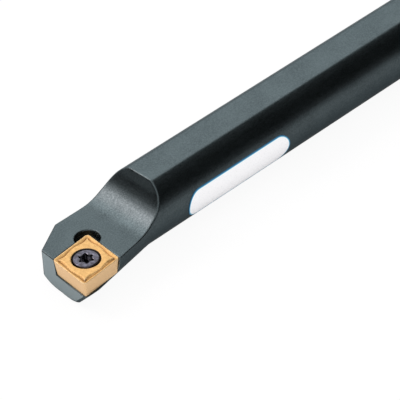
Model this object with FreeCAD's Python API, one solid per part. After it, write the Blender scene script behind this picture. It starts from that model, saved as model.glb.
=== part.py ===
import FreeCAD, Part
import math
import os
from FreeCAD import Placement, Rotation, Vector

# A boring bar with a clamped four-sided insert.
# Millimetres and degrees. The origin is the centre of the back face, on the shank's axis.
# +X runs along the bar to the cutting head, +Y to the cutting side and +Z up from the rake face.

# Driving sizes of the whole tool
bar_length = 125.0
nose_reach = 6.5

# Driving sizes of the shank
shank_diameter = 10.0
flat_height = 4.6
back_chamfer = 0.5

# Driving sizes of the head
flare_length = 13.5
head_trim = 0.3
flank_reach = 7.2
flank_radius = 4.6
flare_blend_angle = 5.0
rake_length = 10.1
scoop_radius = 6.0
front_setback = 0.1
far_corner_reach = 2.41
far_chamfer_angle = 29.1
belly_facet_angle = 43.0
belly_facet_depth = 0.45
front_heel_round = 0.5

# Driving sizes of the insert
inscribed_diameter = 6.35
insert_thickness = 2.38
nose_angle = 80.0
nose_radius = 0.4
relief_angle = 7.0
insert_turn = 45.0
insert_hole_diameter = 2.8
hole_mouth_diameter = 3.95
countersink_half_angle = 30.0

# Driving sizes of the chip-breaking groove in the insert's top
least_corner_round = 0.05
edge_land = 0.12
groove_wall_inset = 0.55
groove_depth = 0.2
island_rise = 0.05
island_slope = 50.0
island_tip_gap = 0.58
island_scallop_inset = 0.74
island_bump_inset = 0.48
island_scallop_place = 0.27
island_sink = 0.05

# Driving sizes of the pocket
pocket_wall_gap = 0.02
corner_relief_diameter = 3.35
corner_relief_inset = 0.85
corner_relief_extra_depth = 0.5

# Driving sizes of the clamp screw
thread_diameter = 2.45
thread_gap = 0.04
thread_tip_chamfer = 0.3
screw_tip_clearance = 0.4
screw_pull = 0.12
head_diameter = 3.4
head_rim = 0.18
head_edge_break = 0.1
head_seat_gap = 0.03
socket_size = 2.1
socket_waist = 1.52
socket_lobe_radius = 0.17
socket_depth = 1.1
socket_turn = -5.0

# Driving sizes of the label
label_length = 18.8
label_width = 4.41
label_thickness = 0.06
label_setback = 28.9
label_angle = 7.75

# Room by which a cutting solid runs past what it cuts
overrun = 2.0

# Places worked out from the driving sizes
shank_radius = shank_diameter / 2
head_end = bar_length + head_trim
flare_start = head_end - flare_length
relief_slope = math.tan(math.radians(relief_angle))
half_nose = math.radians(nose_angle / 2)
seat_height = -insert_thickness
nose_centre_distance = (inscribed_diameter / 2 - nose_radius) / math.sin(half_nose)
turn = math.radians(insert_turn)
insert_x = bar_length - nose_radius - nose_centre_distance * math.cos(turn)
insert_y = nose_reach - nose_radius - nose_centre_distance * math.sin(turn)
insert_place = Placement(Vector(insert_x, insert_y, 0), Rotation(Vector(0, 0, 1), insert_turn))
countersink_slope = math.tan(math.radians(countersink_half_angle))
side_play = screw_pull + head_seat_gap
flank_drop = shank_radius - flank_radius
flank_shift = flank_reach - math.sqrt(flank_radius ** 2 - flank_drop ** 2)


def polar(radius, angle, z=0.0):
    """A point at a radius and an angle in degrees round the Z axis."""
    turned = math.radians(angle)
    return Vector(radius * math.cos(turned), radius * math.sin(turned), z)


def polygon_face(points):
    """A flat face on a closed run of points."""
    return Part.Face(Part.makePolygon(points + [points[0]]))


def turned_solid(outline):
    """A solid of revolution about Z, from (radius, height) points that start and end on the axis."""
    points = [Vector(radius, 0, height) for radius, height in outline]
    return polygon_face(points).revolve(Vector(0, 0, 0), Vector(0, 0, 1), 360)


def block_beyond(x, y, angle):
    """A large block whose near face stands upright at a point and faces away from the angle."""
    size = bar_length
    block = Part.makeBox(size, 2 * size, 2 * size, Vector(0, -size, -size))
    block.Placement = Placement(Vector(x, y, 0), Rotation(Vector(0, 0, 1), angle))
    return block


# The insert's outline, seen from above with its nose on +X

def rhombus_corners(inscribed, radius):
    """Each corner's direction, its round's distance and the angle from there to its sides' normals."""
    reach = inscribed / 2 - radius
    sharp = (reach / math.sin(half_nose), 90 - nose_angle / 2)
    blunt = (reach / math.cos(half_nose), nose_angle / 2)
    corners = []
    for number, (distance, spread) in enumerate((sharp, blunt, sharp, blunt)):
        corners.append((90 * number, distance, spread))
    return corners


def rounded_rhombus(inscribed, radius, z):
    """The insert's outline at one height."""
    edges = []
    start = None
    first = None
    for direction, distance, spread in rhombus_corners(inscribed, radius):
        centre = polar(distance, direction, z)
        entry = centre + polar(radius, direction - spread)
        middle = centre + polar(radius, direction)
        leave = centre + polar(radius, direction + spread)
        if start is None:
            first = entry
        else:
            edges.append(Part.LineSegment(start, entry).toShape())
        edges.append(Part.Arc(entry, middle, leave).toShape())
        start = leave
    edges.append(Part.LineSegment(start, first).toShape())
    return Part.Wire(edges)


def rhombus_prism(inset_low, z_low, inset_high, z_high):
    """A solid between two insert outlines, each drawn in from the cutting edge by an inset."""
    wires = []
    for inset, z in ((inset_low, z_low), (inset_high, z_high)):
        radius = max(nose_radius - inset, least_corner_round)
        wires.append(rounded_rhombus(inscribed_diameter - 2 * inset, radius, z))
    return Part.makeLoft(wires, True, True)


def island_outline(spread, z):
    """The wavy outline of the raised middle, with a tip at each corner and a bump on each side."""
    corners = rhombus_corners(inscribed_diameter, 0)
    tips = []
    for direction, distance, side in rhombus_corners(inscribed_diameter, nose_radius):
        tips.append(polar(distance + nose_radius - island_tip_gap + spread, direction, z))
    edges = []
    for number, (direction, distance, side) in enumerate(corners):
        following = (number + 1) % len(corners)
        start = polar(distance, direction, z)
        end = polar(corners[following][1], corners[following][0], z)
        inwards = polar(-1, direction + side)
        points = [tips[number]]
        for place, inset in ((island_scallop_place, island_scallop_inset),
                             (0.5, island_bump_inset),
                             (1 - island_scallop_place, island_scallop_inset)):
            points.append(start + (end - start) * place + inwards * (inset - spread))
        points.append(tips[following])
        curve = Part.BSplineCurve()
        curve.interpolate(points)
        edges.append(curve.toShape())
    return Part.Wire(edges)


def make_insert():
    body = rhombus_prism(insert_thickness * relief_slope, seat_height, 0, 0)
    dish = rhombus_prism(groove_wall_inset, -groove_depth, edge_land, 0)
    body = body.cut(dish)
    foot = -groove_depth - island_sink
    spread = (island_rise - foot) / math.tan(math.radians(island_slope))
    island = Part.makeLoft([island_outline(spread, foot), island_outline(0, island_rise)], True, True)
    body = body.fuse(island)
    hole_radius = insert_hole_diameter / 2
    mouth_radius = hole_mouth_diameter / 2
    cone_foot = island_rise - (mouth_radius - hole_radius) / countersink_slope
    hole = turned_solid([
        (0, seat_height - overrun),
        (hole_radius, seat_height - overrun),
        (hole_radius, cone_foot),
        (mouth_radius, island_rise),
        (mouth_radius, overrun),
        (0, overrun),
    ])
    insert = body.cut(hole).removeSplitter()
    insert.Placement = insert_place.multiply(insert.Placement)
    return insert


# The clamp screw stands a little towards the pocket's corner, so that it pulls the insert home

def screw_place():
    offset = insert_place.multVec(Vector(-screw_pull, 0, 0))
    return Placement(offset, Rotation(Vector(0, 0, 1), socket_turn))


def socket_outline(z):
    """The six-lobe socket: round lobes joined by hollow flanks that touch them smoothly."""
    lobe_centre = socket_size / 2 - socket_lobe_radius
    waist = socket_waist / 2
    half_step = math.radians(30)
    # The flank's radius follows from the two arcs touching
    gap = lobe_centre ** 2 + waist ** 2 - 2 * lobe_centre * waist * math.cos(half_step)
    gap = gap - socket_lobe_radius ** 2
    flank_arc = gap / (2 * (socket_lobe_radius + lobe_centre * math.cos(half_step) - waist))
    edges = []
    for lobe in range(6):
        direction = 60 * lobe
        centre = polar(lobe_centre, direction, z)
        before = polar(waist + flank_arc, direction - 30, z)
        after = polar(waist + flank_arc, direction + 30, z)
        joint = socket_lobe_radius / (socket_lobe_radius + flank_arc)
        entry = centre + (before - centre) * joint
        leave = centre + (after - centre) * joint
        following = polar(lobe_centre, direction + 60, z)
        arrival = following + (after - following) * joint
        edges.append(Part.Arc(entry, polar(socket_size / 2, direction, z), leave).toShape())
        edges.append(Part.Arc(leave, polar(waist, direction + 30, z), arrival).toShape())
    return Part.Wire(edges)


def make_clamp_screw():
    head_radius = head_diameter / 2
    thread_radius = thread_diameter / 2
    rim_foot = island_rise - (hole_mouth_diameter / 2 - head_radius - side_play) / countersink_slope
    head_top = rim_foot + head_rim
    neck = rim_foot - (head_radius - thread_radius) / countersink_slope
    tip = screw_tip_clearance - shank_radius
    screw = turned_solid([
        (0, tip),
        (thread_radius - thread_tip_chamfer, tip),
        (thread_radius, tip + thread_tip_chamfer),
        (thread_radius, neck),
        (head_radius, rim_foot),
        (head_radius, head_top - head_edge_break),
        (head_radius - head_edge_break, head_top),
        (0, head_top),
    ])
    socket = Part.Face(socket_outline(head_top - socket_depth)).extrude(Vector(0, 0, socket_depth + overrun))
    screw = screw.cut(socket)
    screw.Placement = screw_place()
    return screw


# The bar is one piece of steel: shank, flared head, scoop, pocket and holes

front_facing = insert_turn - (90 - nose_angle / 2)
front_point = Vector(insert_x, insert_y, 0) + polar(inscribed_diameter / 2 - front_setback, front_facing)


def on_circle(x, radius, angle, y=0.0, z=0.0):
    """A point of a circle that stands across the bar, at an angle in degrees from the cutting side."""
    turned = math.radians(angle)
    return Vector(x, y + radius * math.cos(turned), z + radius * math.sin(turned))


def shank_section(x):
    """The round section where the flare begins, cut into the head's four edges."""
    blend = flare_blend_angle

    def at(angle):
        return on_circle(x, shank_radius, angle)

    return Part.Wire([
        Part.Arc(at(90 + blend), at(180), at(270 - blend)).toShape(),
        Part.Arc(at(270 - blend), at(270), at(270 + blend)).toShape(),
        Part.Arc(at(270 + blend), at(0), at(90 - blend)).toShape(),
        Part.Arc(at(90 - blend), at(90), at(90 + blend)).toShape(),
    ])


def head_section(x):
    """The wide section just past the nose: the shank's arc, a flat belly and the flank's tighter arc."""

    def far(angle):
        return on_circle(x, shank_radius, angle)

    def near(angle):
        return on_circle(x, flank_radius, angle, flank_shift, -flank_drop)

    return Part.Wire([
        Part.Arc(far(90), far(180), far(270)).toShape(),
        Part.LineSegment(far(270), near(270)).toShape(),
        Part.Arc(near(270), near(0), near(90)).toShape(),
        Part.LineSegment(near(90), far(90)).toShape(),
    ])


def make_blank():
    """The round shank with its flared head, before any milling."""
    x_axis = Vector(1, 0, 0)
    shank = Part.makeCylinder(shank_radius, flare_start - back_chamfer, Vector(back_chamfer, 0, 0), x_axis)
    back = Part.makeCone(shank_radius - back_chamfer, shank_radius, back_chamfer, Vector(0, 0, 0), x_axis)
    head = Part.makeLoft([shank_section(flare_start), head_section(head_end)], True, True)
    return back.fuse([shank, head]).removeSplitter()


def rake_cutter():
    """What the mill takes off above the rake face, with the scoop that runs up to the flat."""
    scoop_start = bar_length - rake_length
    run = math.sqrt(scoop_radius ** 2 - (scoop_radius - flat_height) ** 2)
    middle = math.acos(1 - flat_height / scoop_radius) / 2
    y = -2 * shank_diameter
    foot = Vector(scoop_start, y, 0)
    halfway = Vector(scoop_start - scoop_radius * math.sin(middle), y, scoop_radius * (1 - math.cos(middle)))
    crest = Vector(scoop_start - run, y, flat_height)
    top_near = Vector(crest.x, y, shank_diameter)
    top_far = Vector(bar_length + overrun, y, shank_diameter)
    front = Vector(bar_length + overrun, y, 0)
    outline = Part.Wire([
        Part.LineSegment(front, foot).toShape(),
        Part.Arc(foot, halfway, crest).toShape(),
        Part.LineSegment(crest, top_near).toShape(),
        Part.LineSegment(top_near, top_far).toShape(),
        Part.LineSegment(top_far, front).toShape(),
    ])
    return Part.Face(outline).extrude(Vector(0, 4 * shank_diameter, 0))


def flat_cutter():
    """What the mill takes off above the shank's flat."""
    return Part.makeBox(bar_length + 2 * overrun, 2 * shank_diameter, shank_diameter,
                        Vector(-overrun, -shank_diameter, flat_height))


def front_cutter():
    """Leaves the front face upright, parallel to the insert's front edge and just behind it."""
    return block_beyond(front_point.x, front_point.y, front_facing)


def far_chamfer_cutter():
    """Takes the far front corner off along an upright plane."""
    lead = (front_point.y + far_corner_reach) * math.tan(math.radians(front_facing))
    return block_beyond(front_point.x + lead, -far_corner_reach, far_chamfer_angle - 90)


def belly_facet_cutter():
    """Takes a clearance facet off below the nose, so that the heel clears a small bore."""
    size = bar_length
    block = Part.makeBox(size, size, 2 * size, Vector(0, 0, -size))
    tilt = Rotation(Vector(1, 0, 0), -belly_facet_angle)
    flank_middle = Vector(flare_start, flank_shift, -flank_drop)
    facet_point = flank_middle + tilt.multVec(Vector(0, flank_radius - belly_facet_depth, 0))
    block.Placement = Placement(facet_point, tilt)
    return block


def round_heel(head):
    """Rounds the lower edge of the front face, which is the lowest run of its outline."""
    facing = polar(1, front_facing)
    near = 1e-4
    lower_edges = []
    for edge in head.Edges:
        on_front = all(abs((point - front_point).dot(facing)) < near for point in edge.discretize(5))
        upright = edge.BoundBox.YLength < near
        if on_front and not upright and edge.CenterOfMass.z < -shank_radius / 2:
            lower_edges.append(edge)
    return head.makeFillet(front_heel_round, lower_edges)


def pocket_cutter():
    """The pocket: a floor and two walls that lean back with the insert's sides."""
    wires = []
    for z in (seat_height, overrun):
        reach = inscribed_diameter / 2 + z * relief_slope + pocket_wall_gap
        apex = Vector(-reach / math.sin(half_nose), 0, z)
        wall = 2 * inscribed_diameter
        left = apex + polar(wall, nose_angle / 2)
        right = apex + polar(wall, -nose_angle / 2)
        ahead = apex + Vector(2 * wall * math.cos(half_nose), 0, 0)
        wires.append(Part.makePolygon([apex, right, ahead, left, apex]))
    pocket = Part.makeLoft(wires, True, True)
    corner = inscribed_diameter / 2 / math.sin(half_nose) - corner_relief_inset
    depth = insert_thickness + corner_relief_extra_depth
    relief = Part.makeCylinder(corner_relief_diameter / 2, depth + overrun, Vector(-corner, 0, -depth))
    cutter = pocket.fuse(relief)
    cutter.Placement = insert_place
    return cutter


def thread_hole_cutter():
    """The clamp screw's hole, tapped right through the head."""
    radius = thread_diameter / 2 + thread_gap
    hole = Part.makeCylinder(radius, 2 * shank_diameter, Vector(0, 0, -shank_diameter - shank_radius))
    hole.Placement = screw_place().multiply(hole.Placement)
    return hole


def make_bar():
    bar = make_blank()
    for cutter in (front_cutter(), far_chamfer_cutter(), belly_facet_cutter()):
        bar = bar.cut(cutter)
    bar = round_heel(bar.removeSplitter())
    for cutter in (rake_cutter(), flat_cutter(), pocket_cutter(), thread_hole_cutter()):
        bar = bar.cut(cutter)
    return bar.removeSplitter()


def make_label():
    """A thin round-ended label, bent to the shank on the cutting side."""
    outer = shank_radius + label_thickness
    half_width = outer * math.sin(label_width / 2 / shank_radius)
    straight = label_length / 2 - half_width
    height = shank_diameter
    outline = Part.Wire([
        Part.LineSegment(Vector(-straight, -half_width, 0), Vector(straight, -half_width, 0)).toShape(),
        Part.Arc(Vector(straight, -half_width, 0), Vector(straight + half_width, 0, 0),
                 Vector(straight, half_width, 0)).toShape(),
        Part.LineSegment(Vector(straight, half_width, 0), Vector(-straight, half_width, 0)).toShape(),
        Part.Arc(Vector(-straight, half_width, 0), Vector(-straight - half_width, 0, 0),
                 Vector(-straight, -half_width, 0)).toShape(),
    ])
    stamp = Part.Face(outline).extrude(Vector(0, 0, height))
    middle = bar_length - label_setback
    stamp.Placement = Placement(Vector(middle, 0, 0), Rotation(Vector(1, 0, 0), -90 - label_angle))
    sleeve = Part.makeCylinder(outer, 2 * label_length, Vector(middle - label_length, 0, 0), Vector(1, 0, 0))
    core = Part.makeCylinder(shank_radius, 2 * label_length, Vector(middle - label_length, 0, 0), Vector(1, 0, 0))
    return sleeve.cut(core).common(stamp)


def save(name, shape):
    """Writes one piece, which has to be a single sound solid."""
    solids = shape.Solids
    if len(solids) != 1 or not solids[0].isValid():
        raise ValueError(f"{name} has {len(solids)} solids")
    solids[0].exportStep(f"parts/{name}.step")
    print(f"{name}: {solids[0].Volume:.2f} mm3")


os.makedirs("parts", exist_ok=True)
save("bar", make_bar())
save("insert", make_insert())
save("clamp_screw", make_clamp_screw())
save("label", make_label())
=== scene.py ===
# The finishes of a boring bar, with the light, the floor and the camera.

import math

import bmesh
import bpy
from mathutils import Matrix, Vector


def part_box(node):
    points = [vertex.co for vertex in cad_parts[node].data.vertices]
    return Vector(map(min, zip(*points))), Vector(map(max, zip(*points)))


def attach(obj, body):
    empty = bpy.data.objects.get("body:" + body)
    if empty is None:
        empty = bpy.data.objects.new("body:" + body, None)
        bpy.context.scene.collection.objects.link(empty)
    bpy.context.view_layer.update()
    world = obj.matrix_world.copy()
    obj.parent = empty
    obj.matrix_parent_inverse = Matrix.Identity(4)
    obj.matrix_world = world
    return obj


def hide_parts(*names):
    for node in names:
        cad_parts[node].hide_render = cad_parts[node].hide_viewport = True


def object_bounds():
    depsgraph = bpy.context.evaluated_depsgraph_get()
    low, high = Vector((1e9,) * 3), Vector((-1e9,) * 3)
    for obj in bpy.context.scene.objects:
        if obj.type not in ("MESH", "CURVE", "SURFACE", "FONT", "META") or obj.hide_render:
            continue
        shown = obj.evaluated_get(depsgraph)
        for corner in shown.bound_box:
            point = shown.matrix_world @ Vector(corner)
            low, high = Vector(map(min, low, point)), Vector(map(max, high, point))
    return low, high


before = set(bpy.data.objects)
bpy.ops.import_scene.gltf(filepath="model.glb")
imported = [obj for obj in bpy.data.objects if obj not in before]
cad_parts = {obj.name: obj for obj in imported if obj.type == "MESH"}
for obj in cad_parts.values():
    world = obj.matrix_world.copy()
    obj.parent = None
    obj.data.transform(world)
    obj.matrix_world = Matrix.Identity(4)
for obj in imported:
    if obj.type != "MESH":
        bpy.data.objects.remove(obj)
cad_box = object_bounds()

MM = 0.001

# Where the photograph was taken from, in the bar's own frame
camera_place = Vector((0.257, 0.1702, 0.17676))
camera_aim = Vector((0.10375, 0.00527, 0))
camera_roll = -3.334
sensor_width = 36
lens_length = 201.6

# How far the label's middle leans down from the cutting side, in degrees
label_angle = 7.75

# Points of a mesh nearer than this are one, and faces flatter than this angle are one
weld_distance = 0.002 * MM
flat_angle = 0.5

# How widely the sharp edges are rounded over, and in how many steps
head_rounding = 0.18 * MM
seat_rounding = 0.14 * MM
fine_rounding = 0.05 * MM
insert_rounding = 0.03 * MM
screw_rounding = 0.04 * MM
rounding_steps = 3

# Edges that turn by more than this, in degrees, are sharp
sharp_angle = 30

# The head's edges are those past this place along the bar and above this height
head_start = 100 * MM
head_low = -2 * MM

# The seat's edges are those this near the insert and above this height
seat_margin = 1.5 * MM
seat_low = -0.5 * MM

# The top of the scoop is where its normal points this far along the bar, above this height
steep_normal = 0.85
sliver_height = 3.6 * MM

# Most of a noise lies in this span, which is stretched
noise_span = (0.3, 0.7)

# The shares of an effect that fades out over a span
fade_out = (1.0, 0.0)

# Painted shade on the wall of the insert's hole fades out between these distances from the screw's
# axis
hole_shade_span = (1.86 * MM, 1.92 * MM)

# Distances from the label's outline where its border turns from dark to pale, and from pale to white
dark_to_pale = (0.1 * MM, 0.17 * MM)
pale_to_white = (0.17 * MM, 0.24 * MM)

# The strip of floor below the bar, whose reflection is darkened by a painted shadow, fades out
# between these distances to its side, and over this length
strip_side_span = (4 * MM, 7 * MM)
strip_end_fade = 2 * MM

# How much of the floor's look is plain white: where it is seen, more for the camera and in the strip
seen_share = 0.4
camera_share = 0.53
strip_share = 0.25

# How much that white is dimmed in reflections, and further in the strip, where it is a painted shadow
mirrored_dimming = 0.4
strip_dimming = 0.25

# How wide the floor is, and how far a card that lies on it stays off it
floor_side = 4
card_lift = 0.2 * MM

# The middle of the cutting head, which the lamps point at
head_middle = Vector((0.115, 0, 0))


# Small helpers

def link_object(name, data):
    """A new object at the origin, in the scene."""
    thing = bpy.data.objects.new(name, data)
    bpy.context.scene.collection.objects.link(thing)
    return thing


def put(tree, kind, **settings):
    """One node with its settings."""
    node = tree.nodes.new(kind)
    for name, value in settings.items():
        setattr(node, name, value)
    return node


def join(tree, source, target):
    """A link from one socket to another."""
    tree.links.new(source, target)


def feed(tree, value, target):
    """A link where the value is a socket, or else the value itself."""
    if isinstance(value, bpy.types.NodeSocket):
        join(tree, value, target)
    else:
        target.default_value = value


def maths(tree, operation, first, second=None, clamp=False):
    """A Math node on one or two values, each a socket or a number."""
    node = put(tree, "ShaderNodeMath", operation=operation, use_clamp=clamp)
    feed(tree, first, node.inputs[0])
    if second is not None:
        feed(tree, second, node.inputs[1])
    return node.outputs["Value"]


def vector_maths(tree, operation, first, second):
    """A Vector Math node on two values, each a socket or three numbers."""
    node = put(tree, "ShaderNodeVectorMath", operation=operation)
    feed(tree, first, node.inputs[0])
    feed(tree, second, node.inputs[1])
    return node.outputs


def blend_colours(tree, share, low, high):
    """A mix of two colours, each a socket or a value, by a share."""
    node = put(tree, "ShaderNodeMix", data_type="RGBA")
    feed(tree, share, node.inputs["Factor"])
    feed(tree, low, node.inputs["A"])
    feed(tree, high, node.inputs["B"])
    return node.outputs["Result"]


def spread(tree, value, span, to=(0.0, 1.0)):
    """Stretches a span of a value to another span, without running past it."""
    node = put(tree, "ShaderNodeMapRange")
    join(tree, value, node.inputs["Value"])
    node.inputs["From Min"].default_value = span[0]
    node.inputs["From Max"].default_value = span[1]
    node.inputs["To Min"].default_value = to[0]
    node.inputs["To Max"].default_value = to[1]
    return node.outputs["Result"]


def own_place(tree):
    """Where a point is, in its object's own frame."""
    return put(tree, "ShaderNodeTexCoord").outputs["Object"]


def own_normal(tree):
    """Which way the surface faces."""
    return put(tree, "ShaderNodeNewGeometry").outputs["Normal"]


def split(tree, vector):
    """The X, Y and Z of a vector."""
    node = put(tree, "ShaderNodeSeparateXYZ")
    join(tree, vector, node.inputs["Vector"])
    return node.outputs


def start_group(name, inputs, outputs):
    """A shader node group with named inputs, which are numbers, and named outputs."""
    group = bpy.data.node_groups.new(name, "ShaderNodeTree")
    for label, value in inputs.items():
        socket = group.interface.new_socket(label, in_out="INPUT", socket_type="NodeSocketFloat")
        socket.default_value = value
    for label, kind in outputs.items():
        group.interface.new_socket(label, in_out="OUTPUT", socket_type=kind)
    return group, group.nodes.new("NodeGroupInput").outputs, group.nodes.new("NodeGroupOutput").inputs


# Effects that several finishes share

def make_edge_wear_and_highlight():
    """Finds the edges: a mask that is bright along them, used for real wear and for painted
    highlights, and normals that round them.
    """
    edge_turn = (0.04, 0.18)
    patch_span = (0.3, 0.6)
    patch_share = (0.35, 1.0)
    group, given, result = start_group(
        "edge_wear_and_highlight",
        {"Width": 0.1 * MM, "Amount": 1.0},
        {"Mask": "NodeSocketFloat", "Normal": "NodeSocketVector"})
    rounded = put(group, "ShaderNodeBevel", samples=8)
    join(group, given["Width"], rounded.inputs["Radius"])
    likeness = vector_maths(group, "DOT_PRODUCT", rounded.outputs["Normal"], own_normal(group))
    turned = maths(group, "SUBTRACT", 1.0, likeness["Value"], clamp=True)
    noise = put(group, "ShaderNodeTexNoise")
    noise.inputs["Scale"].default_value = 900.0
    noise.inputs["Detail"].default_value = 3.0
    join(group, own_place(group), noise.inputs["Vector"])
    patchy = spread(group, noise.outputs["Fac"], patch_span, patch_share)
    mask = maths(group, "MULTIPLY", spread(group, turned, edge_turn), patchy)
    join(group, maths(group, "MULTIPLY", mask, given["Amount"]), result["Mask"])
    join(group, rounded.outputs["Normal"], result["Normal"])
    return group


def make_fine_grain():
    """Fine even grain."""
    group, given, result = start_group(
        "fine_grain",
        {"Scale": 4000.0, "Detail": 3.0},
        {"Value": "NodeSocketFloat"})
    noise = put(group, "ShaderNodeTexNoise")
    noise.inputs["Roughness"].default_value = 0.6
    join(group, own_place(group), noise.inputs["Vector"])
    join(group, given["Scale"], noise.inputs["Scale"])
    join(group, given["Detail"], noise.inputs["Detail"])
    join(group, noise.outputs["Fac"], result["Value"])
    return group


def make_painted_hollow_shade():
    """A mask for painted shade: bright in narrow recesses of the same piece, from its ambient
    occlusion.
    """
    group, given, result = start_group(
        "painted_hollow_shade",
        {"Reach": 0.3 * MM, "Least": 0.75, "Most": 0.98},
        {"Mask": "NodeSocketFloat"})
    shade = put(group, "ShaderNodeAmbientOcclusion", samples=8, only_local=True)
    join(group, given["Reach"], shade.inputs["Distance"])
    width = maths(group, "SUBTRACT", given["Most"], given["Least"])
    depth = maths(group, "SUBTRACT", given["Most"], shade.outputs["AO"])
    join(group, maths(group, "DIVIDE", depth, width, clamp=True), result["Mask"])
    return group


# Shared masks: edges for wear and painted highlights, narrow recesses for painted shade
edge_wear_and_highlight = make_edge_wear_and_highlight()
fine_grain = make_fine_grain()
painted_hollow_shade = make_painted_hollow_shade()


def place_group(tree, group, **values):
    """Places a shared effect in a material, with its own values."""
    node = put(tree, "ShaderNodeGroup")
    node.node_tree = group
    for name, value in values.items():
        node.inputs[name].default_value = value
    return node.outputs


def start_finish(name):
    """A new material with its shader's inputs."""
    material = bpy.data.materials.new(name)
    material.use_nodes = True
    tree = material.node_tree
    return material, tree, tree.nodes["Principled BSDF"].inputs


def raise_grain(tree, shader, grain, roughness, depth, strength, normal=None):
    """Lets a grain vary the roughness and raise the surface through a Bump node."""
    join(tree, spread(tree, grain, noise_span, roughness), shader["Roughness"])
    bump = put(tree, "ShaderNodeBump")
    bump.inputs["Strength"].default_value = strength
    bump.inputs["Distance"].default_value = depth
    join(tree, grain, bump.inputs["Height"])
    if normal is not None:
        join(tree, normal, bump.inputs["Normal"])
    join(tree, bump.outputs["Normal"], shader["Normal"])


# The finishes

def make_black_steel():
    """Blued steel, dark and satin, with fine grain; its front face is lighter, partly a real finish
    from grinding and partly painted light, and its upper edges are paler, partly real wear and partly
    a painted highlight.
    """
    dark_tone = (0.049, 0.063, 0.068, 1)
    light_tone = (0.067, 0.086, 0.092, 1)
    speckle_tone = (0.112, 0.138, 0.145, 1)
    front_ground_and_lit_tone = (0.31, 0.37, 0.385, 1)
    worn_and_highlight_tone = (0.75, 0.77, 0.8, 1)
    speckle_span = (0.35, 0.7)
    speckle_share = (0.0, 0.5)
    front_span = (0.97, 0.99)
    wear_height = (0.2 * MM, 1.2 * MM)
    wear_share = (0.05, 1.0)
    material, tree, shader = start_finish("blued_steel")
    shader["Metallic"].default_value = 1.0
    shader["Specular Tint"].default_value = (0.56, 0.6, 0.62, 1)
    edges = place_group(tree, edge_wear_and_highlight, Width=0.3 * MM, Amount=1.0)
    grain = place_group(tree, fine_grain, Scale=3500.0)
    clouds = place_group(tree, fine_grain, Scale=220.0, Detail=2.0)
    speckle = place_group(tree, fine_grain, Scale=5500.0, Detail=1.0)
    tone = blend_colours(tree, spread(tree, clouds["Value"], noise_span), dark_tone, light_tone)
    speckled = spread(tree, speckle["Value"], speckle_span, speckle_share)
    tone = blend_colours(tree, speckled, tone, speckle_tone)
    # Partly painted light: faces that look along the bar are lighter, partly a real finish from
    # grinding and partly standing in for light on the front face
    ground_and_lit_front = spread(tree, split(tree, own_normal(tree))["X"], front_span)
    tone = blend_colours(tree, ground_and_lit_front, tone, front_ground_and_lit_tone)
    # Partly a painted highlight: the upper edges are paler, partly real wear of the bluing and partly
    # a highlight painted on
    raised = spread(tree, split(tree, own_place(tree))["Z"], wear_height, wear_share)
    worn_and_highlit = maths(tree, "MULTIPLY", edges["Mask"], raised)
    tone = blend_colours(tree, worn_and_highlit, tone, worn_and_highlight_tone)
    join(tree, tone, shader["Base Color"])
    raise_grain(tree, shader, grain["Value"], roughness=(0.3, 0.42),
                depth=0.012 * MM, strength=0.35, normal=edges["Normal"])
    return material


def hole_wall_shade_mask(tree):
    """A mask for painted shade, bright on the wall of the insert's hole, by the distance to the
    screw's axis.
    """
    low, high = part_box("clamp_screw")
    screw_axis = ((low[0] + high[0]) / 2, (low[1] + high[1]) / 2, 0)
    level = vector_maths(tree, "MULTIPLY", own_place(tree), (1, 1, 0))
    away = vector_maths(tree, "DISTANCE", level["Vector"], screw_axis)
    return spread(tree, away["Value"], hole_shade_span, fade_out)


def make_coated_carbide():
    """Carbide with a matt golden coating, paler along its edges, partly a real honed edge and partly
    a painted highlight, with painted shade brown in its groove and nearly black on the wall of its
    hole.
    """
    dark_tone = (0.52, 0.31, 0.105, 1)
    light_tone = (0.69, 0.425, 0.155, 1)
    side_tone = (0.78, 0.53, 0.28, 1)
    pale_edge_and_highlight_tone = (1.0, 0.87, 0.62, 1)
    groove_shade_tone = (0.3, 0.13, 0.025, 1)
    hole_shade_tone = (0.02, 0.016, 0.012, 1)
    top_span = (0.3, 0.6)
    material, tree, shader = start_finish("gold_coating")
    shader["Metallic"].default_value = 0.55
    edges = place_group(tree, edge_wear_and_highlight, Width=0.24 * MM, Amount=1.0)
    grain = place_group(tree, fine_grain, Scale=9000.0)
    clouds = place_group(tree, fine_grain, Scale=1800.0, Detail=2.0)
    hollow_shade = place_group(tree, painted_hollow_shade, Reach=0.35 * MM)
    tone = blend_colours(tree, spread(tree, clouds["Value"], noise_span), dark_tone, light_tone)
    on_top = spread(tree, split(tree, own_normal(tree))["Z"], top_span)
    tone = blend_colours(tree, on_top, side_tone, tone)
    # Paler along the edges, partly a real honed edge and partly a painted highlight
    tone = blend_colours(tree, edges["Mask"], tone, pale_edge_and_highlight_tone)
    # Painted shade: the chip breaker's groove is darkened to brown
    tone = blend_colours(tree, hollow_shade["Mask"], tone, groove_shade_tone)
    # Painted shade: the wall of the screw's hole is made nearly black
    tone = blend_colours(tree, hole_wall_shade_mask(tree), tone, hole_shade_tone)
    join(tree, tone, shader["Base Color"])
    raise_grain(tree, shader, grain["Value"], roughness=(0.48, 0.6),
                depth=0.01 * MM, strength=0.3, normal=edges["Normal"])
    return material


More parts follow.
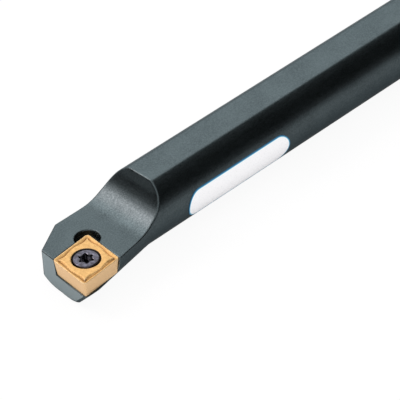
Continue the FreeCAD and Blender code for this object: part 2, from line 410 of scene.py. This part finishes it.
def make_screw_steel():
    """The clamp screw's dark grey steel, with a painted highlight along its edges and painted shade
    that makes its socket black.
    """
    dark_tone = (0.026, 0.025, 0.031, 1)
    light_tone = (0.086, 0.083, 0.1, 1)
    cloud_tone = (0.125, 0.125, 0.162, 1)
    pale_edge_and_highlight_tone = (0.55, 0.55, 0.6, 1)
    socket_shade_tone = (0.01, 0.01, 0.012, 1)
    cloud_span = (0.42, 0.68)
    material, tree, shader = start_finish("screw_steel")
    shader["Metallic"].default_value = 1.0
    edges = place_group(tree, edge_wear_and_highlight, Width=0.2 * MM, Amount=0.9)
    grain = place_group(tree, fine_grain, Scale=7000.0)
    clouds = place_group(tree, fine_grain, Scale=1700.0, Detail=1.0)
    hollow_shade = place_group(tree, painted_hollow_shade, Reach=0.5 * MM, Least=0.68, Most=0.97)
    tone = blend_colours(tree, grain["Value"], dark_tone, light_tone)
    tone = blend_colours(tree, spread(tree, clouds["Value"], cloud_span), tone, cloud_tone)
    # Painted highlight along the screw's edges
    tone = blend_colours(tree, edges["Mask"], tone, pale_edge_and_highlight_tone)
    # Painted shade: the socket is made black
    tone = blend_colours(tree, hollow_shade["Mask"], tone, socket_shade_tone)
    join(tree, tone, shader["Base Color"])
    raise_grain(tree, shader, grain["Value"], roughness=(0.25, 0.38),
                depth=0.008 * MM, strength=0.3, normal=edges["Normal"])
    return material


def distance_inside_label(tree):
    """How far a point of the label lies inside its round-ended outline."""
    low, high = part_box("label")
    lean = math.radians(label_angle)
    half_width = (high[2] - low[2]) / 2 / math.cos(lean)
    middle = (low[0] + high[0]) / 2
    straight = (high[0] - low[0]) / 2 - half_width
    place = own_place(tree)
    across = vector_maths(tree, "DOT_PRODUCT", place, (0, math.sin(lean), math.cos(lean)))
    past_end = maths(tree, "ABSOLUTE", maths(tree, "SUBTRACT", split(tree, place)["X"], middle))
    past_end = maths(tree, "MAXIMUM", maths(tree, "SUBTRACT", past_end, straight), 0.0)
    reach = maths(tree, "ADD", maths(tree, "POWER", past_end, 2.0),
                  maths(tree, "POWER", maths(tree, "ABSOLUTE", across["Value"]), 2.0))
    return maths(tree, "SUBTRACT", half_width, maths(tree, "SQRT", reach))


def make_label_film():
    """White printed film with a thin blue border."""
    grey_white = (0.88, 0.89, 0.9, 1)
    clear_white = (0.97, 0.97, 0.98, 1)
    pale_blue = (0.18, 0.62, 0.8, 1)
    dark_blue = (0.0, 0.13, 0.28, 1)
    material, tree, shader = start_finish("label_film")
    grain = place_group(tree, fine_grain, Scale=6000.0)
    tone = blend_colours(tree, grain["Value"], grey_white, clear_white)
    inside = distance_inside_label(tree)
    tone = blend_colours(tree, spread(tree, inside, pale_to_white), pale_blue, tone)
    tone = blend_colours(tree, spread(tree, inside, dark_to_pale), dark_blue, tone)
    join(tree, tone, shader["Base Color"])
    raise_grain(tree, shader, grain["Value"], roughness=(0.25, 0.35), depth=0.004 * MM, strength=0.2)
    return material


def dress(node, material):
    """Gives a CAD node its finish."""
    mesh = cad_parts[node].data
    mesh.materials.clear()
    mesh.materials.append(material)


# Pieces whose sharp edges are broken, as a deburred or ground edge is

insert_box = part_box("insert")


def anywhere(middle):
    """True for every edge."""
    return True


def at_seat(middle):
    """True for an edge whose middle lies near the insert."""
    low, high = insert_box
    return all(low[axis] - seat_margin < middle[axis] < high[axis] + seat_margin for axis in range(3))


def head_edge(middle):
    """True on the head's top and front edges, which are the roundest."""
    return middle.x > head_start and middle.z > head_low and not at_seat(middle)


def seat_edge(middle):
    """True on the rake plane's edges round the insert."""
    return at_seat(middle) and middle.z > seat_low


def fine_edge(middle):
    """True on all the other edges of the bar."""
    return not head_edge(middle) and not seat_edge(middle)


def join_slivers(shape):
    """Makes one face of the thin triangles at the top of the scoop."""
    steep = {face for face in shape.faces
             if face.normal.x > steep_normal and face.calc_center_median().z > sliver_height}
    inner = [edge for edge in shape.edges
             if len(edge.link_faces) == 2 and steep.issuperset(edge.link_faces)]
    bmesh.ops.dissolve_edges(shape, edges=inner, use_verts=False)


def broken_edges(node, name, roundings, material):
    """A copy of a CAD node with its sharp outer edges rounded over, by width and place."""
    shape = bmesh.new()
    shape.from_mesh(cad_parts[node].data)
    bmesh.ops.remove_doubles(shape, verts=shape.verts, dist=weld_distance)
    bmesh.ops.dissolve_limit(shape, angle_limit=math.radians(flat_angle),
                             verts=shape.verts, edges=shape.edges)
    join_slivers(shape)
    for width, where in roundings:
        sharp = [edge for edge in shape.edges
                 if edge.is_manifold and edge.is_convex
                 and edge.calc_face_angle() > math.radians(sharp_angle)
                 and where((edge.verts[0].co + edge.verts[1].co) / 2)]
        bmesh.ops.bevel(shape, geom=sharp, offset=width, offset_type="OFFSET", affect="EDGES",
                        segments=rounding_steps, profile=0.5, material=-1,
                        clamp_overlap=False, loop_slide=True)
    bmesh.ops.remove_doubles(shape, verts=shape.verts, dist=weld_distance)
    for face in shape.faces:
        face.smooth = True
    mesh = bpy.data.meshes.new(name)
    shape.to_mesh(mesh)
    shape.free()
    mesh.materials.append(material)
    piece = link_object(name, mesh)
    even = piece.modifiers.new("even_normals", "WEIGHTED_NORMAL")
    even.mode = "FACE_AREA"
    even.keep_sharp = False
    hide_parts(node)
    return piece


bar_roundings = [(head_rounding, head_edge), (seat_rounding, seat_edge), (fine_rounding, fine_edge)]
bar_body = broken_edges("bar", "bar_body", bar_roundings, make_black_steel())
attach(bar_body, "bar")
insert_roundings = [(insert_rounding, anywhere)]
insert_body = broken_edges("insert", "insert_body", insert_roundings, make_coated_carbide())
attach(insert_body, "bar")
screw_roundings = [(screw_rounding, anywhere)]
screw_body = broken_edges("clamp_screw", "screw_body", screw_roundings, make_screw_steel())
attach(screw_body, "screw")
dress("label", make_label_film())


# The floor, the light and the camera

def plain_sheet(name, width, height):
    """A flat rectangle about the origin, facing +Z."""
    shape = bmesh.new()
    bmesh.ops.create_grid(shape, x_segments=1, y_segments=1, size=0.5)
    bmesh.ops.scale(shape, vec=(width, height, 1), verts=shape.verts)
    mesh = bpy.data.meshes.new(name)
    shape.to_mesh(mesh)
    shape.free()
    return link_object(name, mesh)


def painted_shadow_under_bar(tree):
    """A mask for a painted shadow in the floor's reflection: bright on the strip of floor below the
    bar, which its lower side mirrors.
    """
    spot = split(tree, own_place(tree))
    beside = spread(tree, maths(tree, "ABSOLUTE", spot["Y"]), strip_side_span, fade_out)
    front = cad_box[1].x
    behind = spread(tree, spot["X"], (front - strip_end_fade, front), fade_out)
    return maths(tree, "MULTIPLY", beside, behind)


def seen_or_mirrored(tree, seen_by):
    """Bright where the camera sees it, also in a mirror or through glass."""
    seen = maths(tree, "MAXIMUM", seen_by["Is Camera Ray"], seen_by["Is Glossy Ray"])
    return maths(tree, "MAXIMUM", seen, seen_by["Is Transmission Ray"])


def make_floor():
    """A white floor that keeps part of the bar's shadow, with a painted shadow on the strip below the
    bar that only reflections show.
    """
    floor = plain_sheet("floor", floor_side, floor_side)
    floor.location = (0, 0, cad_box[0].z)
    material = bpy.data.materials.new("white_floor")
    material.use_nodes = True
    tree = material.node_tree
    tree.nodes.clear()
    paint = put(tree, "ShaderNodeBsdfDiffuse")
    paint.inputs["Color"].default_value = (0.9, 0.9, 0.9, 1)
    glow = put(tree, "ShaderNodeEmission")
    seen_by = put(tree, "ShaderNodeLightPath").outputs
    # Painted shadow: the strip below the bar is darkened where it is mirrored
    strip = maths(tree, "MULTIPLY", painted_shadow_under_bar(tree), seen_by["Is Glossy Ray"])
    dimmed = maths(tree, "MULTIPLY", seen_by["Is Glossy Ray"], mirrored_dimming)
    dimmed = maths(tree, "ADD", dimmed, maths(tree, "MULTIPLY", strip, strip_dimming))
    join(tree, maths(tree, "SUBTRACT", 1.0, dimmed), glow.inputs["Strength"])
    share = maths(tree, "MULTIPLY", seen_or_mirrored(tree, seen_by), seen_share)
    for_camera = maths(tree, "MULTIPLY", seen_by["Is Camera Ray"], camera_share)
    share = maths(tree, "ADD", share, for_camera)
    share = maths(tree, "ADD", share, maths(tree, "MULTIPLY", strip, strip_share))
    mix = put(tree, "ShaderNodeMixShader")
    join(tree, share, mix.inputs["Fac"])
    join(tree, paint.outputs["BSDF"], mix.inputs[1])
    join(tree, glow.outputs["Emission"], mix.inputs[2])
    output = put(tree, "ShaderNodeOutputMaterial")
    join(tree, mix.outputs["Shader"], output.inputs["Surface"])
    floor.data.materials.append(material)


def make_world():
    """White where it is seen or mirrored, and soft grey light on everything else."""
    soft_grey = (0.95, 0.95, 0.96, 1)
    white = (1, 1, 1, 1)
    world = bpy.data.worlds.new("studio")
    bpy.context.scene.world = world
    world.use_nodes = True
    tree = world.node_tree
    tree.nodes.clear()
    share = seen_or_mirrored(tree, put(tree, "ShaderNodeLightPath").outputs)
    background = put(tree, "ShaderNodeBackground")
    join(tree, blend_colours(tree, share, soft_grey, white), background.inputs["Color"])
    output = put(tree, "ShaderNodeOutputWorld")
    join(tree, background.outputs["Background"], output.inputs["Surface"])


def face_head(thing, direction, distance):
    """Stands a lamp or a card off the cutting head, facing it."""
    away = Vector(direction).normalized()
    thing.location = head_middle + away * distance
    thing.rotation_euler = away.to_track_quat("Z", "Y").to_euler()


def softbox(name, direction, distance, width, height, brightness, colour=(1, 1, 1)):
    """A soft lamp whose reflection has the given brightness, where 1 is white."""
    light = bpy.data.lights.new(name, "AREA")
    light.shape = "RECTANGLE"
    light.size = width
    light.size_y = height
    light.energy = math.pi * width * height * brightness
    light.color = colour
    lamp = link_object(name, light)
    lamp.visible_camera = False
    face_head(lamp, direction, distance)


def black_card(name, direction, distance, width, height):
    """A black card that only reflections show."""
    card = plain_sheet(name, width, height)
    face_head(card, direction, distance)
    material = bpy.data.materials.new(name)
    material.use_nodes = True
    shader = material.node_tree.nodes["Principled BSDF"]
    shader.inputs["Base Color"].default_value = (0.01, 0.01, 0.01, 1)
    shader.inputs["Specular IOR Level"].default_value = 0.0
    card.data.materials.append(material)
    card.visible_camera = False
    card.visible_diffuse = False
    card.visible_shadow = False
    return card


def lay_card(name, offset, width):
    """A black card flat on the floor, this far along and across from the cutting head."""
    card = black_card(name, direction=(0, 0, 1), distance=0, width=width, height=width)
    card.location = (head_middle.x + offset[0], head_middle.y + offset[1], cad_box[0].z + card_lift)


def make_camera():
    """The camera, fitted to the photograph and rolled a little."""
    camera = link_object("camera", bpy.data.cameras.new("camera"))
    camera.data.sensor_width = sensor_width
    camera.data.lens = lens_length
    camera.data.clip_start = 0.01
    camera.data.clip_end = 10
    level = (camera_aim - camera_place).to_track_quat("-Z", "Y")
    roll = Matrix.Rotation(math.radians(camera_roll), 4, "Z")
    camera.matrix_world = Matrix.Translation(camera_place) @ level.to_matrix().to_4x4() @ roll
    bpy.context.scene.camera = camera


make_floor()
make_world()
softbox("back_lamp", direction=(-0.6, -0.56, 0.6), distance=0.6,
        width=0.4, height=0.4, brightness=1.05)
softbox("middle_lamp", direction=(-0.08, -0.6, 0.78), distance=0.6,
        width=0.17, height=0.3, brightness=2.8)
softbox("top_lamp", direction=(0.305, -0.6, 0.75), distance=0.6,
        width=0.23, height=0.3, brightness=6.2, colour=(1, 0.84, 0.82))
black_card("side_card", direction=(-0.5, 0.6, 0.5), distance=0.5, width=0.9, height=0.75)
black_card("front_card", direction=(0.8, -0.58, 0.2), distance=0.5, width=0.5, height=0.35)
lay_card("ground_card", offset=(0.115, -0.085), width=0.16)
make_camera()
bpy.context.scene.view_settings.view_transform = "Standard"
